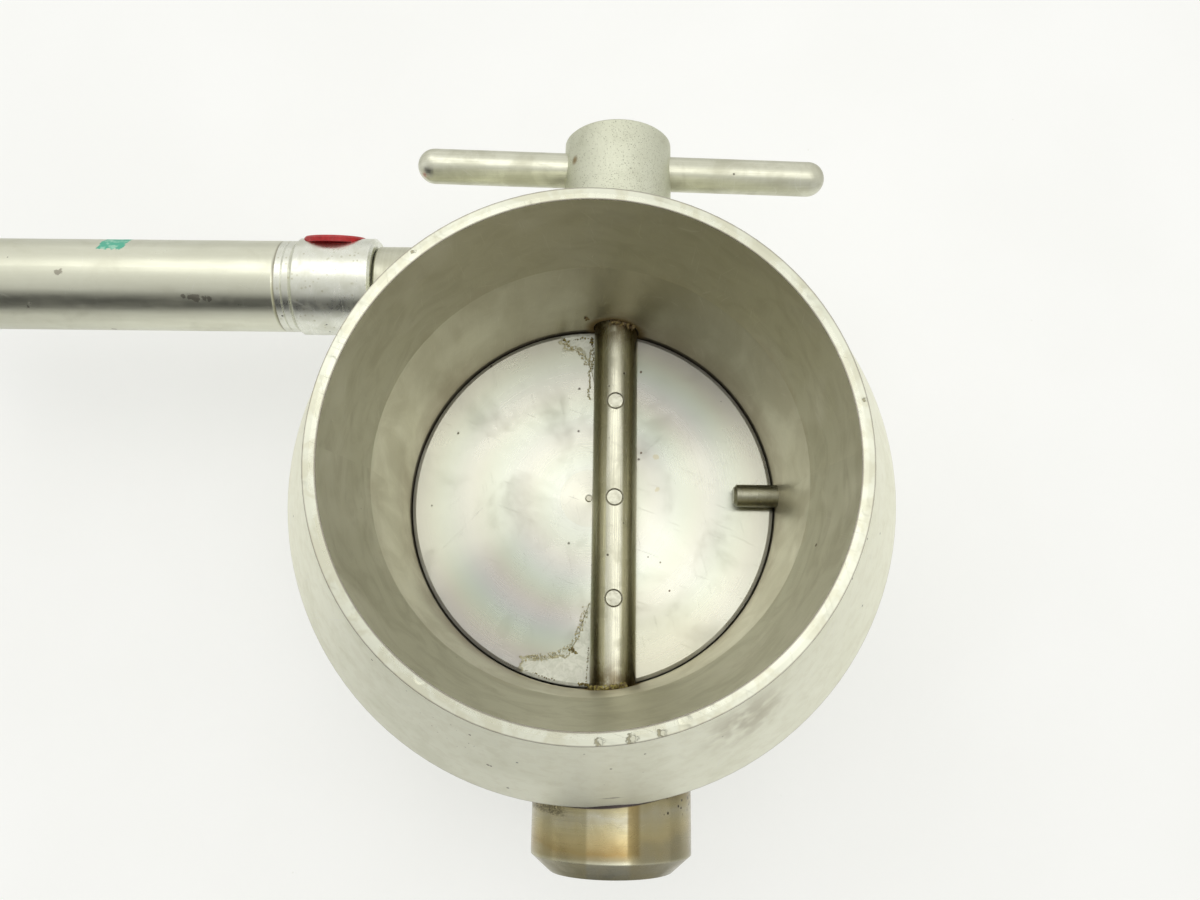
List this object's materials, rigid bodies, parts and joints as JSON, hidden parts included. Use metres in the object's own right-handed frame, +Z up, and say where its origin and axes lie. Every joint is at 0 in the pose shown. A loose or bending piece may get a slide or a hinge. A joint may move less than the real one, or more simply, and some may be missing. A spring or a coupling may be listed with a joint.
{
  "type": "pneumatic butterfly valve",
  "caption": "Round valve body with a turning disc on an offset shaft, moved by a rack and pinion from a side air cylinder, with a hand bar on the shaft.",
  "frame": {"origin": "centre of the outlet rim face on the bore axis", "axes": "+Z up the bore to the inlet rim, +Y along the shaft to the hand bar, -X along the air cylinder to its rear head"},
  "size_m": [0.3057, 0.2098, 0.135],
  "materials": {
    "turned_stainless": "turned, satin",
    "welded_stainless": "turned, heat tinted",
    "disc_steel": "faced, fine turning marks",
    "shaft_steel": "ground",
    "pin_steel": "ground",
    "hub_steel": "blasted",
    "bar_steel": "brushed",
    "tube_stainless": "drawn, satin",
    "plug_steel": "turned",
    "screw_steel": "plain",
    "spring_steel": "drawn wire",
    "gear_steel": "cut, oiled",
    "head_aluminium": "turned, lightly stained",
    "bronze": "sintered bronze",
    "black_rubber": "moulded",
    "gasket_fibre": "fibre sheet",
    "red_plastic": "moulded"
  },
  "bodies": {
    "housing": {"valve_body": "turned_stainless", "stop_pin": "pin_steel", "upper_shaft_seal": "black_rubber", "upper_bushing": "bronze", "lower_shaft_seal": "black_rubber", "lower_bushing": "bronze", "lower_bearing_housing": "welded_stainless", "thrust_washer": "bronze", "boss_end_plug": "plug_steel", "cover_gasket": "gasket_fibre", "bearing_cover": "turned_stainless", "cover_bushing": "bronze", "cover_screws": "screw_steel", "rack_end_plug": "plug_steel", "rack_neck": "turned_stainless", "front_head": "head_aluminium", "rod_bushing": "bronze", "rod_seal": "black_rubber", "front_port_plug": "red_plastic", "cylinder_tube": "tube_stainless", "rear_head": "head_aluminium", "travel_stop": "plug_steel", "return_spring": "spring_steel"},
    "rotor": {"shaft": "shaft_steel", "retaining_clip": "spring_steel", "disc": "disc_steel", "disc_pins": "pin_steel", "pinion": "gear_steel", "pinion_key": "gear_steel", "handle_hub": "hub_steel", "handle_bar": "bar_steel", "hub_set_screw": "screw_steel"},
    "rack_slide": {"rack": "gear_steel", "piston_rod": "shaft_steel", "piston": "head_aluminium", "piston_seal": "black_rubber", "piston_nut": "screw_steel"}
  },
  "joints": [
    {"name": "shaft_turn", "type": "hinge", "parent": "housing", "child": "rotor", "pos_m": [0.0063, 0, 0.072], "axis": [0, 1, 0], "range_deg": [0, 90], "stiffness_Nm_per_rad": 0.234, "springref_deg": -91.67},
    {"name": "rack_travel", "type": "slide", "parent": "housing", "child": "rack_slide", "axis": [-1, 0, 0], "range_m": [0, 0.01963], "deforming": ["return_spring"]}
  ],
  "couplings": [
    {"joint": "rack_travel", "follows": "shaft_turn", "m_per_rad": 0.0125}
  ]
}
